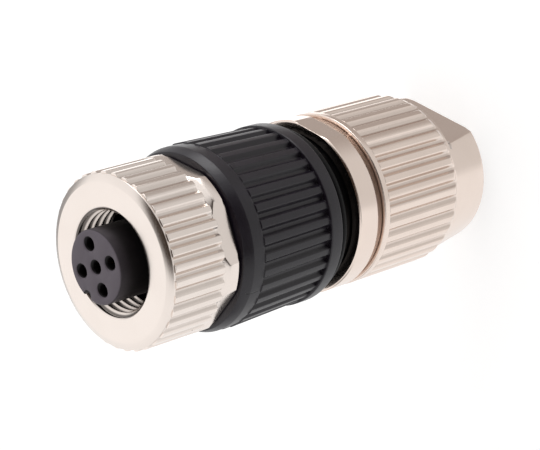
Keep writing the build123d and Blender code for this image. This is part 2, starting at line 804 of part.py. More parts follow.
export_step(gland_nut.part, "parts/gland_nut.step")
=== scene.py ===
"""Looks of a field-wired circular connector: knurled coupling nut, black grip and metal cable gland.

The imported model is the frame. The turned shells are rebuilt here with rounded edges and real threads,
and every piece gets a procedural finish.
"""
import logging
import math
from dataclasses import dataclass, replace
from enum import Enum
from typing import Any, Callable, Iterable, Sequence, Union

import bmesh
import bpy
from mathutils import Matrix, Vector


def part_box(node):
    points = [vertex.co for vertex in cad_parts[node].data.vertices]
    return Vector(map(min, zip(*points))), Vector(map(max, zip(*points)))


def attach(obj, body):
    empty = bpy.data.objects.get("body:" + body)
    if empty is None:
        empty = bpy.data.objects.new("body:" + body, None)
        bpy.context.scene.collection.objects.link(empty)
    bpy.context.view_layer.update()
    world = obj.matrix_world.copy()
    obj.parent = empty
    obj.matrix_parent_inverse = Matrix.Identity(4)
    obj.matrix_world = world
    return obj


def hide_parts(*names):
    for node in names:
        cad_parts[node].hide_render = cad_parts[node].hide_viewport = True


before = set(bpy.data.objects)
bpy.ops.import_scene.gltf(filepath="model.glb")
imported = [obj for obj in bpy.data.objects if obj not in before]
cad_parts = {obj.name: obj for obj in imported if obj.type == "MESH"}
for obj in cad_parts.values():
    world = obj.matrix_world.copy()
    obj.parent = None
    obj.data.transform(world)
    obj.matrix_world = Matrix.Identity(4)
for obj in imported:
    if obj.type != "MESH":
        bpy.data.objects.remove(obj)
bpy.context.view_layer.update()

MM = 0.001
WELD = 4e-7                 # metres: points of neighbouring sheets this close are one point
FLAT_ENOUGH = 0.003         # millimetres by which a face of four corners may be bent
WIDEST_COLUMN = 3.6         # degrees between two columns of a turned piece
CLOSEST_COLUMN = 0.04       # degrees: of two columns nearer to each other than this, one is dropped
SOFT_EDGE = 0.05            # millimetres of rounding on the corners of a turned profile
CUT_SOFTNESS = 0.03         # millimetres of rounding where a flat meets the turned surface
SHARP_EDGE = 28             # degrees: an edge of a kept mesh that bends more than this is eased

Colour = tuple[float, float, float]
Place = tuple[float, float, float]
Hole = tuple[float, float, float]       # its middle along X and Y, and its radius, in millimetres
Form = Callable[[float, float], float]
Row = list[tuple[float, float]]
Values = dict[Union[str, int], Any]
Signals = Sequence["Signal"]

log = logging.getLogger("connector")


class Slot(Enum):
    """The record's material slots."""

    NICKEL = "nickel"
    SPRING_STEEL = "spring_steel"
    SCREEN_METAL = "screen_metal"
    CONTACT_GOLD = "contact_gold"
    INSERT_PLASTIC = "insert_plastic"
    INSULATOR = "insulator"
    GLOSS_PLASTIC = "gloss_plastic"
    GRIP_PLASTIC = "grip_plastic"
    ORGANISER_PLASTIC = "organiser_plastic"
    CLAMP_PLASTIC = "clamp_plastic"
    RUBBER = "rubber"


class Body(Enum):
    """The bodies that the pieces ride on."""

    CONTACTS = "contact_body"
    NUT = "nut"
    HOUSING = "housing"
    GLAND = "gland"


# Shader maths


class Signal:
    """A number that varies over a surface: an output socket whose arithmetic adds Math nodes."""

    def __init__(self, tree: "ShaderTree", socket: bpy.types.NodeSocket) -> None:
        """Wraps one output socket of a tree."""
        self.tree = tree
        self.socket = socket

    def math(self, operation: str, *values: Union["Signal", float]) -> "Signal":
        """Adds a Math node.

        Args:
            operation: the node's operation.
            values: its inputs in order.

        Returns:
            The node's result.
        """
        made = self.tree.node("ShaderNodeMath", {"operation": operation}, dict(enumerate(values)))
        return Signal(self.tree, made.outputs[0])

    def __add__(self, other: Union["Signal", float]) -> "Signal":
        """self + other."""
        return self.math("ADD", self, other)

    def __radd__(self, other: float) -> "Signal":
        """other + self."""
        return self.math("ADD", other, self)

    def __sub__(self, other: Union["Signal", float]) -> "Signal":
        """self - other."""
        return self.math("SUBTRACT", self, other)

    def __rsub__(self, other: float) -> "Signal":
        """other - self."""
        return self.math("SUBTRACT", other, self)

    def __mul__(self, other: Union["Signal", float]) -> "Signal":
        """self * other."""
        return self.math("MULTIPLY", self, other)

    def __rmul__(self, other: float) -> "Signal":
        """other * self."""
        return self.math("MULTIPLY", other, self)

    def __pow__(self, power: float) -> "Signal":
        """self to a power."""
        return self.math("POWER", self, power)

    def __abs__(self) -> "Signal":
        """Size of self without its sign."""
        return self.math("ABSOLUTE", self)


class ShaderTree:
    """The node tree of one finish, with the fields that finishes share."""

    def __init__(self, owner: Union[bpy.types.Material, bpy.types.World]) -> None:
        """Empties the tree of a material or of the world.

        Args:
            owner: the material or the world.
        """
        owner.use_nodes = True
        self.nodes = owner.node_tree.nodes
        self.links = owner.node_tree.links
        self.nodes.clear()

    def node(
        self, kind: str, settings: dict[str, Any] | None = None, inputs: Values | None = None
    ) -> bpy.types.Node:
        """Adds a node.

        Args:
            kind: the node's type.
            settings: its properties, set first; "stops" are a ramp's positions and colours.
            inputs: values or links of its sockets, by name or number.

        Returns:
            The node.
        """
        made = self.nodes.new(kind)
        for name, value in (settings or {}).items():
            if name == "stops":
                self.set_stops(made.color_ramp, value)
            else:
                setattr(made, name, value)
        for name, value in (inputs or {}).items():
            if isinstance(value, Signal):
                self.links.new(value.socket, made.inputs[name])
            elif isinstance(value, bpy.types.NodeSocket):
                self.links.new(value, made.inputs[name])
            else:
                made.inputs[name].default_value = value
        return made

    @staticmethod
    def set_stops(ramp: bpy.types.ColorRamp, stops: Sequence[tuple[float, Colour]]) -> None:
        """Gives a colour ramp its stops.

        Args:
            ramp: the ramp.
            stops: positions and colours, in rising order.
        """
        while len(ramp.elements) < len(stops):
            ramp.elements.new(1.0)
        for element, (place, colour) in zip(ramp.elements, stops):
            element.position = place
            element.color = (*colour, 1.0)

    def place(self) -> bpy.types.NodeSocket:
        """Finds the place on the piece.

        Returns:
            The place in millimetres.
        """
        coordinates = self.node("ShaderNodeTexCoord").outputs["Object"]
        scaled = self.node("ShaderNodeVectorMath", {"operation": "SCALE"}, {0: coordinates, "Scale": 1 / MM})
        return scaled.outputs[0]

    def axes(self) -> tuple[Signal, Signal, Signal]:
        """Place on the piece in millimetres, along X, Y and Z."""
        split = self.node("ShaderNodeSeparateXYZ", inputs={0: self.place()})
        return tuple(Signal(self, socket) for socket in split.outputs)

    def height(self) -> Signal:
        """Height on the piece in millimetres."""
        return self.axes()[2]

    def radius(self) -> Signal:
        """Distance from the connector's axis in millimetres."""
        across, aside, _ = self.axes()
        return (across * across + aside * aside) ** 0.5

    def noise(self, scale: float, detail: float = 2.0, along: bpy.types.NodeSocket | None = None) -> Signal:
        """Adds a noise texture.

        Args:
            scale: cells in a millimetre.
            detail: octaves of finer noise.
            along: the vector it follows, or None for the place on the piece.

        Returns:
            Noise around 0.5.
        """
        inputs = {"Vector": along or self.place(), "Scale": scale, "Detail": detail}
        return Signal(self, self.node("ShaderNodeTexNoise", inputs=inputs).outputs[0])

    def lathe_lines(self, scale: float) -> Signal:
        """Adds the fine lines that a turning tool leaves: rings on a face, hoops on a barrel.

        Args:
            scale: lines in a millimetre, roughly.

        Returns:
            Noise around 0.5.
        """
        line = self.node("ShaderNodeCombineXYZ", inputs={0: self.height() + self.radius()})
        return self.noise(scale, 3.0, line.outputs[0])

    def step(self, value: Signal, low: float, high: float) -> Signal:
        """Adds a smooth step.

        Args:
            value: the number that is stepped.
            low: where the step starts.
            high: where it ends.

        Returns:
            0 at low, 1 at high.
        """
        settings = {"interpolation_type": "SMOOTHSTEP"}
        made = self.node("ShaderNodeMapRange", settings, {0: value, 1: low, 2: high})
        return Signal(self, made.outputs[0])

    def band(self, value: Signal, rise: tuple[float, float], fall: tuple[float, float]) -> Signal:
        """Adds a smooth step up and a smooth step down.

        Args:
            value: the number that is stepped.
            rise: where the step up starts and ends.
            fall: where the step down starts and ends.

        Returns:
            1 between the steps, 0 outside them.
        """
        return self.step(value, *rise) * (1 - self.step(value, *fall))

    def between(self, value: Signal, low: float, high: float, edge: float) -> Signal:
        """1 between two numbers and 0 outside them, with steps that reach an edge's width both ways."""
        return self.band(value, (low - edge, low + edge), (high - edge, high + edge))

    def mix(self, share: Signal | float, first: Any, second: Any) -> bpy.types.NodeSocket:
        """Mixes two colours.

        Args:
            share: 0 for the first colour, 1 for the second.
            first: a colour or a socket.
            second: a colour or a socket.

        Returns:
            The mixed colour.
        """
        inputs: Values = {0: share}
        for number, colour in ((6, first), (7, second)):
            inputs[number] = (*colour, 1.0) if isinstance(colour, tuple) else colour
        return self.node("ShaderNodeMix", {"data_type": "RGBA"}, inputs).outputs[2]

    def bump(self, height: Signal, depth: float) -> bpy.types.NodeSocket:
        """Adds a bump.

        Args:
            height: relief from 0 to 1.
            depth: millimetres between 0 and 1.

        Returns:
            The bent normal.
        """
        inputs = {"Height": height, "Distance": depth * MM, "Strength": 1.0}
        return self.node("ShaderNodeBump", inputs=inputs).outputs[0]

    def principled(self, inputs: Values) -> None:
        """Ends the tree in a Principled shader.

        Args:
            inputs: its sockets; tuples of three are colours.
        """
        ready = {name: (*v, 1.0) if isinstance(v, tuple) else v for name, v in inputs.items()}
        surface = self.node("ShaderNodeBsdfPrincipled", inputs=ready)
        self.node("ShaderNodeOutputMaterial", inputs={"Surface": surface.outputs[0]})


# Finishes


@dataclass(frozen=True)
class Finish:
    """A named finish, whose material is made once."""

    name: str

    def surface(self, tree: ShaderTree) -> Values:
        """Inputs of the Principled shader, which each kind of finish works out."""
        raise NotImplementedError

    def material(self) -> bpy.types.Material:
        """Makes the material, or finds it if another piece has it already.

        Returns:
            The material.
        """
        made = bpy.data.materials.get(self.name)
        if made is None:
            made = bpy.data.materials.new(self.name)
            tree = ShaderTree(made)
            tree.principled(self.surface(tree))
        return made


@dataclass(frozen=True)
class Plating(Finish):
    """Thin metal plate over turned or drawn metal: a satin sheen, tool lines, shade painted into the knurl's
    grooves and the thread's roots, and specks.
    """

    base: Colour = (0.905, 0.815, 0.755)
    shade: Colour = (0.84, 0.75, 0.69)
    shade_share: float = 0.35
    # Painted shade in the knurl's grooves: its colour, share, fades, radii and heights.
    recess: Colour = (0.47, 0.41, 0.37)
    recess_share: float = 0.0
    recess_rear_fade: float = 0.2
    recess_front_fade: float = 0.1
    floor_r: float = 0.0
    ridge_r: float = 1.0
    recess_low: float = 0.0
    recess_high: float = 1.0
    # Painted shade in the thread's roots: its colour, share, radii and fades.
    root: Colour = (0.05, 0.042, 0.038)
    root_share: float = 0.85
    root_from_r: float = 0.0
    root_to_r: float = 0.0
    root_near_fade: float = 0.2
    root_far_fade: float = 0.04
    speck: Colour = (0.05, 0.04, 0.035)
    specks: float = 0.0
    speck_cells: float = 0.9
    roughness: float = 0.2
    line_cells: float = 14.0
    line_depth: float = 0.0012
    line_roughness: float = 0.06
    grain: float = 11.0
    grain_depth: float = 0.0015
    cloud_cells: float = 0.22
    cloud_roughness: float = 0.1
    matt: float = 0.14
    matt_low: float = 0.0
    matt_high: float = 0.0
    matt_fade: float = 0.05

    def painted_groove_shade(self, tree: ShaderTree) -> Signal:
        """Finds the knurl's grooves, where shade is painted.

        Args:
            tree: the material's tree.

        Returns:
            Their share of the painted groove shade, uneven along them.
        """
        deep = 1 - tree.step(tree.radius(), self.floor_r, self.ridge_r)
        rear = (self.recess_low - self.recess_rear_fade, self.recess_low + self.recess_rear_fade)
        front = (self.recess_high - self.recess_front_fade, self.recess_high)
        uneven = 0.8 + tree.noise(1.4, 3.0) * 0.4
        return deep * tree.band(tree.height(), rear, front) * uneven * self.recess_share

    def painted_root_shade(self, tree: ShaderTree) -> Signal:
        """Finds the roots of the thread, where shade is painted.

        Args:
            tree: the material's tree.

        Returns:
            Their share of the painted root shade.
        """
        near = (self.root_from_r, self.root_from_r + self.root_near_fade)
        far = (self.root_to_r - self.root_far_fade, self.root_to_r)
        return tree.band(tree.radius(), near, far) * self.root_share

    def specked(self, tree: ShaderTree) -> Signal:
        """Scatters a few small specks.

        Args:
            tree: the material's tree.

        Returns:
            Their share of the speck colour.
        """
        inputs = {"Vector": tree.place(), "Scale": self.speck_cells}
        cells = tree.node("ShaderNodeTexVoronoi", {"feature": "F1"}, inputs)
        near = 1 - tree.step(Signal(tree, cells.outputs["Distance"]), 0.035, 0.07)
        rare = tree.step(tree.noise(0.8, 1.0), 0.6, 0.64)
        return near * rare * self.specks

    def surface(self, tree: ShaderTree) -> Values:
        """Works out the plate's surface.

        Args:
            tree: the material's tree.

        Returns:
            Inputs of its Principled shader.
        """
        cloud = tree.noise(self.cloud_cells, 3.0)
        colour = tree.mix(tree.step(cloud, 0.35, 0.75) * self.shade_share, self.base, self.shade)
        # Painted shade in the knurl's grooves.
        if self.recess_share:
            colour = tree.mix(self.painted_groove_shade(tree), colour, self.recess)
        # Painted shade in the thread's roots.
        if self.root_to_r > self.root_from_r:
            colour = tree.mix(self.painted_root_shade(tree), colour, self.root)
        if self.specks:
            colour = tree.mix(self.specked(tree), colour, self.speck)
        lines = tree.lathe_lines(self.line_cells)
        relief = lines * self.line_depth + tree.noise(self.grain, 2.0) * self.grain_depth
        rough = self.roughness + (cloud - 0.5) * self.cloud_roughness + (lines - 0.5) * self.line_roughness
        if self.matt_high > self.matt_low:
            matt = tree.between(tree.height(), self.matt_low, self.matt_high, self.matt_fade)
            rough = rough + matt * self.matt
        return {"Base Color": colour, "Metallic": 1.0, "Roughness": rough, "Normal": tree.bump(relief, 1.0)}


@dataclass(frozen=True)
class Moulding(Finish):
    """Moulded plastic or rubber: a fine grain, a soft mottle and, on the grip, the mould's seam."""

    base: Colour
    pale: Colour
    pale_share: float = 0.35
    roughness: float = 0.42
    uneven_roughness: float = 0.12
    grain: float = 9.0
    grain_share: float = 0.3
    grain_depth: float = 0.006
    wave_depth: float = 0.0
    specular: float = 0.5
    seam_turn: float | None = None
    seam_low: float = 0.0
    seam_high: float = 0.0
    seam_fade: float = 0.05
    seam_depth: float = 0.05
    seam_share: float = 0.8
    seam_colour: Colour = (0.002, 0.002, 0.002)

    def seam(self, tree: ShaderTree) -> Signal:
        """Finds the mould's seam.

        Args:
            tree: the material's tree.

        Returns:
            1 on the seam and 0 beside it.
        """
        across, aside, height = tree.axes()
        sine, cosine = math.sin(math.radians(self.seam_turn)), math.cos(math.radians(self.seam_turn))
        on_line = 1 - tree.step(abs(across * sine - aside * cosine), 0.03, 0.09)
        this_side = tree.step(across * cosine + aside * sine, 0.0, 1.0)
        return on_line * this_side * tree.between(height, self.seam_low, self.seam_high, self.seam_fade)

    def surface(self, tree: ShaderTree) -> Values:
        """Works out the moulding's surface.

        Args:
            tree: the material's tree.

        Returns:
            Inputs of its Principled shader.
        """
        cloud = tree.noise(0.4, 3.0)
        fine = tree.noise(self.grain, 3.0)
        share = tree.step(cloud, 0.3, 0.8) * self.pale_share + (fine - 0.5) * self.grain_share
        colour = tree.mix(share, self.base, self.pale)
        relief = fine * self.grain_depth + tree.noise(0.7, 1.0) * self.wave_depth
        if self.seam_turn is not None:
            seam = self.seam(tree)
            relief = relief - seam * self.seam_depth
            colour = tree.mix(seam * self.seam_share, colour, self.seam_colour)
        rough = self.roughness + (cloud - 0.5) * self.uneven_roughness + (fine - 0.5) * self.uneven_roughness
        return {
            "Base Color": colour,
            "Roughness": rough,
            "Specular IOR Level": self.specular,
            "Normal": tree.bump(relief, 1.0),
        }


@dataclass(frozen=True)
class SocketMoulding(Finish):
    """Matt plastic of the contact insert: a charcoal face, with shade painted into its bores, onto its side
    and where it sinks into the nut.
    """

    holes: tuple[Hole, ...]
    face: Colour = (0.138, 0.118, 0.138)
    # Painted shade: the side is the same plastic as the face, darker only where less light reaches it.
    side: Colour = (0.05, 0.042, 0.048)
    # Painted shade in the bores and on the part sunk into the nut.
    painted_shade: Colour = (0.008, 0.0062, 0.007)
    # Radii where the painted side shade starts and where it is full.
    side_from_r: float = 3.9
    side_to_r: float = 4.02
    # Edges of the bores' painted shade, in millimetres from each hole's wall.
    bore_inside: float = -0.06
    bore_outside: float = 0.02
    # Heights below which the sunk part's painted shade is full, and above which it is gone.
    painted_shade_below: float = 50.4
    lit_above: float = 52.3
    roughness: float = 0.45
    uneven_roughness: float = 0.2
    specular: float = 0.17
    grain: float = 9.0
    grain_share: float = 0.4
    grain_depth: float = 0.008

    def wall_distance(self, tree: ShaderTree) -> Signal:
        """Measures to the wall of the nearest hole.

        Args:
            tree: the material's tree.

        Returns:
            The distance in millimetres, negative inside the hole.
        """
        across, aside, _ = tree.axes()
        nearest: Signal | None = None
        for x, y, radius in self.holes:
            right, up = across - x, aside - y
            apart = (right * right + up * up) ** 0.5 - radius
            nearest = apart if nearest is None else nearest.math("MINIMUM", nearest, apart)
        return nearest

    def surface(self, tree: ShaderTree) -> Values:
        """Works out the insert's surface.

        Args:
            tree: the material's tree.

        Returns:
            Inputs of its Principled shader.
        """
        fine = tree.noise(self.grain, 3.0)
        # Painted shade on the insert's side, broken up by the grain.
        outside = tree.step(tree.radius(), self.side_from_r, self.side_to_r) + (fine - 0.5) * self.grain_share
        colour = tree.mix(outside, self.face, self.side)
        # Painted shade in the bores and below the face.
        bore_shade = 1 - tree.step(self.wall_distance(tree), self.bore_inside, self.bore_outside)
        sunk_shade = 1 - tree.step(tree.height(), self.painted_shade_below, self.lit_above)
        colour = tree.mix(bore_shade.math("MAXIMUM", bore_shade, sunk_shade), colour, self.painted_shade)
        return {
            "Base Color": colour,
            "Roughness": self.roughness + (fine - 0.5) * self.uneven_roughness,
            "Specular IOR Level": self.specular,
            "Normal": tree.bump(fine, self.grain_depth),
        }


# Meshes


def soft_min(first: float, second: float, softness: float = CUT_SOFTNESS) -> float:
    """Returns the smaller of two numbers, rounded where they meet."""
    return (first + second - math.hypot(first - second, softness)) / 2


def eased(share: float) -> float:
    """Returns a share from 0 to 1 that starts and ends gently."""
    return share * share * (3 - 2 * share)


def off_middle(angle: float, turn: float, count: int) -> float:
    """Returns degrees from the middle of the nearest of some evenly spread cuts, one of them at turn."""
    pitch = 360 / count
    return (angle - turn + pitch / 2) % pitch - pitch / 2


def ramp(start: tuple[float, float], end: tuple[float, float], rows: int, gentle: bool = False) -> Row:
    """Works out points along a slope of a profile, at even steps of height.

    Args:
        start: its first radius and height.
        end: its last radius and height.
        rows: how many steps it has.
        gentle: whether its radius starts and ends gently.

    Returns:
        The points, one more than there are steps.
    """
    points = []
    for part in range(rows + 1):
        share = part / rows
        out = eased(share) if gentle else share
        points.append((start[0] + (end[0] - start[0]) * out, start[1] + (end[1] - start[1]) * share))
    return points


def turned_round(_angle: float, radius: float) -> float:
    """The form of a turned surface that nothing cuts."""
    return radius


@dataclass(frozen=True)
class Flats:
    """Flats cut across a turned piece, evenly spread around its axis."""

    count: int
    half: float
    turn: float

    def __call__(self, angle: float, radius: float) -> float:
        """Radius that the flats leave at an angle."""
        offset = off_middle(angle, self.turn, self.count)
        return soft_min(radius, self.half / max(math.cos(math.radians(offset)), 0.05))

    def columns(self, radii: Iterable[float]) -> list[float]:
        """Angles on both sides of the edges where the flats meet some radii.

        Args:
            radii: radii of the turned surface, all larger than half.

        Returns:
            The angles in degrees.
        """
        angles = []
        for radius in radii:
            edge = math.degrees(math.acos(self.half / radius))
            near = math.degrees(CUT_SOFTNESS / radius)
            for flat in range(self.count):
                middle = self.turn + flat * 360 / self.count
                angles += [middle + side * (edge + shift) for side in (-1, 1) for shift in (-near, near)]
        return angles


@dataclass(frozen=True)
class Knurl:
    """Straight grooves with sloping flanks."""

    ridge_r: float
    turn: float
    count: int = 36
    width: float = 1.05
    floor_width: float = 0.35
    depth: float = 0.46
    softness: float = 0.08

    def __call__(self, angle: float, radius: float) -> float:
        """Cuts the grooves.

        Args:
            angle: where round the axis, in degrees.
            radius: radius of the turned surface there.

        Returns:
            The radius that the grooves leave.
        """
        across = self.ridge_r * abs(math.sin(math.radians(off_middle(angle, self.turn, self.count))))
        slope = 2 * self.depth / (self.width - self.floor_width)
        flank = self.ridge_r - self.depth + slope * (across - self.floor_width / 2)
        groove = -soft_min(-flank, self.depth - self.ridge_r, self.softness)
        return soft_min(radius, groove, self.softness)

    def columns(self) -> list[float]:
        """Finds where the knurl needs columns.

        Returns:
            Angles in degrees at the corners of each groove and beside them.
        """
        near = math.degrees(self.softness / self.ridge_r)
        top = math.degrees(math.asin(self.width / 2 / self.ridge_r))
        floor = math.degrees(math.asin(self.floor_width / 2 / self.ridge_r))
        half = [floor - near, floor + near, (floor + top) / 2, top - near, top, top + near]
        offsets = [side * place for place in half for side in (-1, 1)] + [180 / self.count]
        middles = [self.turn + groove * 360 / self.count for groove in range(self.count)]
        return [middle + offset for middle in middles for offset in offsets]


@dataclass(frozen=True)
class Station:
    """A corner of a turned profile, in millimetres."""

    radius: float
    height: float
    form: Form = turned_round
    soft: float = SOFT_EDGE


def slope_stations(points: Row, form: Form) -> list[Station]:
    """Stations without rounding at the points of a slope."""
    return [Station(radius, height, form, soft=0.0) for radius, height in points]


@dataclass(frozen=True)
class Thread:
    """A screw thread with sloping flanks between two heights, which runs out in a cone at each end."""

    low: float
    high: float
    low_r: float
    high_r: float
    crest_r: float
    root_r: float
    pitch: float = 1.0
    crest_share: float = 0.2
    root_share: float = 0.14
    corner_share: float = 0.03
    downwards: bool = False

    def radius_at(self, phase: float) -> float:
        """Works out the flanks.

        Args:
            phase: share of the pitch, with the root's middle at a half.

        Returns:
            Radius of the thread there.
        """
        flank = (1 - self.crest_share - self.root_share) / 2
        past = abs(phase - 0.5) - self.root_share / 2
        rise = min(max(past / flank, 0.0), 1.0)
        return self.root_r + (self.crest_r - self.root_r) * rise

    def rows(self, angles: Sequence[float]) -> list[Row]:
        """Works out the thread's rows, which climb with the helix.

        Args:
            angles: the columns in degrees, the first repeated at the end.

        Returns:
            Rows of (radius, height), from low to high or, downwards, from high to low.
        """
        near = self.corner_share
        root = self.root_share / 2
        crest = 0.5 - self.crest_share / 2
        half = [root - near, root + near, (root + crest) / 2, crest - near, crest + near]
        phases = sorted([0.5 - place for place in half] + [0.5 + place for place in half])
        sign = 1 if self.root_r > self.crest_r else -1
        turns = math.ceil((self.high - self.low) / self.pitch) + 1
        rows = []
        for number in range(-1, turns):
            for phase in phases:
                row = []
                for angle in angles:
                    climb = (angle - angles[0]) / 360
                    height = self.low + self.pitch * (number + phase + climb)
                    height = min(max(height, self.low), self.high)
                    cones = (
                        self.low_r - sign * (height - self.low),
                        self.high_r - sign * (self.high - height),
                    )
                    row.append((sign * max(sign * self.radius_at(phase), *(sign * r for r in cones)), height))
                rows.append(row)
        rows = [[(self.low_r, self.low)] * len(angles), *rows, [(self.high_r, self.high)] * len(angles)]
        return rows[::-1] if self.downwards else rows


def rounded(corners: Sequence[tuple[float, float]], softness: Sequence[float]) -> Row:
    """Rounds the corners of an open profile with three points each.

    Args:
        corners: the profile's corners as (radius, height).
        softness: how far from each corner its rounding starts.

    Returns:
        Three points for each corner.
    """
    points: Row = []
    for number, corner in enumerate(corners):
        here = Vector(corner)
        before = Vector(corners[max(number - 1, 0)]) - here
        after = Vector(corners[min(number + 1, len(corners) - 1)]) - here
        reach = min(softness[number], 0.45 * before.length, 0.45 * after.length)
        start = here + before.normalized() * reach
        end = here + after.normalized() * reach
        middle = (start + end) / 4 + here / 2
        points += [tuple(start), tuple(middle), tuple(end)]
    return points


def filled_columns(angles: Iterable[float]) -> list[float]:
    """Sorts column angles, drops doubles and fills wide gaps.

    Args:
        angles: angles in degrees.

    Returns:
        Rising angles over a full turn, with the first repeated a turn later.
    """
    rising = sorted({round(angle % 360, 3) for angle in angles})
    kept = [rising[0]]
    for angle in rising[1:] + [rising[0] + 360]:
        gap = angle - kept[-1]
        if gap < CLOSEST_COLUMN and angle != rising[0] + 360:
            continue
        pieces = max(math.ceil(gap / WIDEST_COLUMN), 1)
        kept += [kept[-1] + gap * part / pieces for part in range(1, pieces)] + [angle]
    return kept


@dataclass
class Turning:
    """A turned piece: its outside from the rear to the front, and its inside back to the rear."""

    name: str
    outer: Sequence[Station | Thread]
    inner: Sequence[Station | Thread]
    cuts: Sequence[float]

    def rows(self, angles: Sequence[float], profile: Sequence[Station | Thread]) -> list[Row]:
        """Works out the rows of one side.

        Args:
            angles: the columns in degrees.
            profile: its stations and threads in order.

        Returns:
            Rows of (radius, height), one point for each column.
        """
        rows: list[Row] = []
        run: list[Station] = []

        def close_run() -> None:
            """Turns the stations gathered so far into rows."""
            columns = []
            for angle in angles:
                corners = [(s.form(angle, s.radius), s.height) for s in run]
                columns.append(rounded(corners, [s.soft for s in run]))
            rows.extend([list(row) for row in zip(*columns)])
            run.clear()

        for item in profile:
            if isinstance(item, Station):
                run.append(item)
                continue
            if run:
                close_run()
            rows.extend(item.rows(angles))
        if run:
            close_run()
        return rows

    def build(self) -> bpy.types.Object:
        """Makes the piece, smooth and closed.

        Returns:
            The piece's object.
        """
        angles = filled_columns(self.cuts)
        outer = self.rows(angles, self.outer)
        inner = self.rows(angles, self.inner)
        loop = outer + inner
        loop.append(loop[0])
        circle = [(math.cos(math.radians(a)), math.sin(math.radians(a))) for a in angles]
        points = [
            (radius * cos * MM, radius * sin * MM, height * MM)
            for row in loop
            for (radius, height), (cos, sin) in zip(row, circle)
        ]
        width = len(angles)
        faces = []
        for level in range(len(loop) - 1):
            outward = 1 if level < len(outer) else -1
            low, high = loop[level], loop[level + 1]
            for column in range(width - 1):
                first = level * width + column
                corners = (first, first + 1, first + width + 1, first + width)
                rising = low[column][0] + high[column + 1][0]
                falling = low[column + 1][0] + high[column][0]
                if abs(rising - falling) / 2 < FLAT_ENOUGH:
                    faces.append(corners)
                elif outward * rising > outward * falling:
                    faces += [(corners[0], corners[1], corners[2]), (corners[0], corners[2], corners[3])]
                else:
                    faces += [(corners[0], corners[1], corners[3]), (corners[1], corners[2], corners[3])]
        return mesh_object(self.name, points, faces)


def linked(name: str, data: Any) -> bpy.types.Object:
    """Links an object to the scene.

    Args:
        name: name of the object.
        data: its mesh, light or camera.

    Returns:
        The object.
    """
    made = bpy.data.objects.new(name, data)
    bpy.context.scene.collection.objects.link(made)
    return made


def mesh_object(name: str, points: Sequence[tuple], faces: Sequence[tuple]) -> bpy.types.Object:
    """Makes a smooth mesh object with its doubled points welded.

    Args:
        name: name of the object.
        points: places in metres.
        faces: corner numbers of each face.

    Returns:
        The object, linked to the scene.
    """
    mesh = bpy.data.meshes.new(name)
    mesh.from_pydata(points, [], faces)
    welded = bmesh.new()
    welded.from_mesh(mesh)
    bmesh.ops.remove_doubles(welded, verts=welded.verts, dist=WELD)
    bmesh.ops.dissolve_degenerate(welded, edges=welded.edges, dist=WELD)
    bmesh.ops.recalc_face_normals(welded, faces=welded.faces)
    for face in welded.faces:
        face.smooth = True
    welded.to_mesh(mesh)
    welded.free()
    made = linked(name, mesh)
    weighted = made.modifiers.new("even_shading", "WEIGHTED_NORMAL")
    weighted.weight = 50
    return made


def reach(node: str) -> tuple[float, float, float]:
    """Measures a node of the frame.

    Args:
        node: the node's name.

    Returns:
        Its largest radius, its lowest height and its highest, in millimetres.
    """
    radius = max(math.hypot(v.co.x, v.co.y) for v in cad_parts[node].data.vertices)
    low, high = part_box(node)
    return radius / MM, low.z / MM, high.z / MM


def dress(piece: bpy.types.Object, finish: Finish) -> None:
    """Gives a piece its finish.

    Args:
        piece: a piece of the scene or a node of the frame.
        finish: the finish.
    """
    piece.data.materials.clear()
    piece.data.materials.append(finish.material())
    log.info("%s: %s, %d faces", piece.name, finish.name, len(piece.data.polygons))


def stand_for(piece: bpy.types.Object, node: str, body: Body) -> None:
    """Puts a piece in the place of a node.

    Args:
        piece: the piece.
        node: the node it stands for.
        body: the body it rides on.
    """
    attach(piece, body.value)
    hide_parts(node)


def ease_edges(node: str, width: float) -> bpy.types.Object:
    """Rounds the edges of a node that keeps its own mesh.

    Args:
        node: the node's name.
        width: width of the rounding in millimetres.

    Returns:
        The node's object.
    """
    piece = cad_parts[node]
    weld = piece.modifiers.new("joined_faces", "WELD")
    weld.merge_threshold = WELD
    bevel = piece.modifiers.new("eased_edges", "BEVEL")
    bevel.width = width * MM
    bevel.segments = 2
    bevel.limit_method = "ANGLE"
    bevel.angle_limit = math.radians(SHARP_EDGE)
    bevel.use_clamp_overlap = True
    bevel.harden_normals = True
    for face in piece.data.polygons:
        face.use_smooth = True
    return piece


# Finishes of this connector

FIRST_PIN_TURN = -1.4
PIN_CIRCLE_R = 2.5
PIN_HOLE_R = 0.83
PIN_RISE = 0.06             # millimetres from a hole's axis to the middle of the shade painted in it
KEY_TURN = -137.5
KEY_CIRCLE_R = 3.72
KEY_HOLE_R = 0.6


def hole(circle_r: float, turn: float, radius: float, rise: float = 0.0) -> Hole:
    """A hole on a circle round the axis, at a turn in degrees and moved aside by a rise."""
    return (circle_r * math.cos(math.radians(turn)), circle_r * math.sin(math.radians(turn)) + rise, radius)


# Holes of the insert, each with the radius of the shade painted into it.
INSERT_HOLES = (
    hole(KEY_CIRCLE_R, KEY_TURN, KEY_HOLE_R),
    hole(0.0, 0.0, PIN_HOLE_R, PIN_RISE),
    *[hole(PIN_CIRCLE_R, FIRST_PIN_TURN + 90.0 * quarter, PIN_HOLE_R, PIN_RISE) for quarter in range(4)],
)

# The nut's recess and root settings paint shade into its knurl's grooves and its thread's roots.
NUT_PLATING = Plating(
    "nickel_nut", recess_share=0.3, floor_r=9.4, ridge_r=9.68, recess_low=43.2, recess_high=49.7,
    root_from_r=5.6, root_to_r=5.97, specks=0.8,
)
HOUSING_PLATING = Plating(
    "nickel_housing", base=(0.9, 0.77, 0.69), shade=(0.83, 0.7, 0.62), matt_low=18.72, matt_high=20.02
)
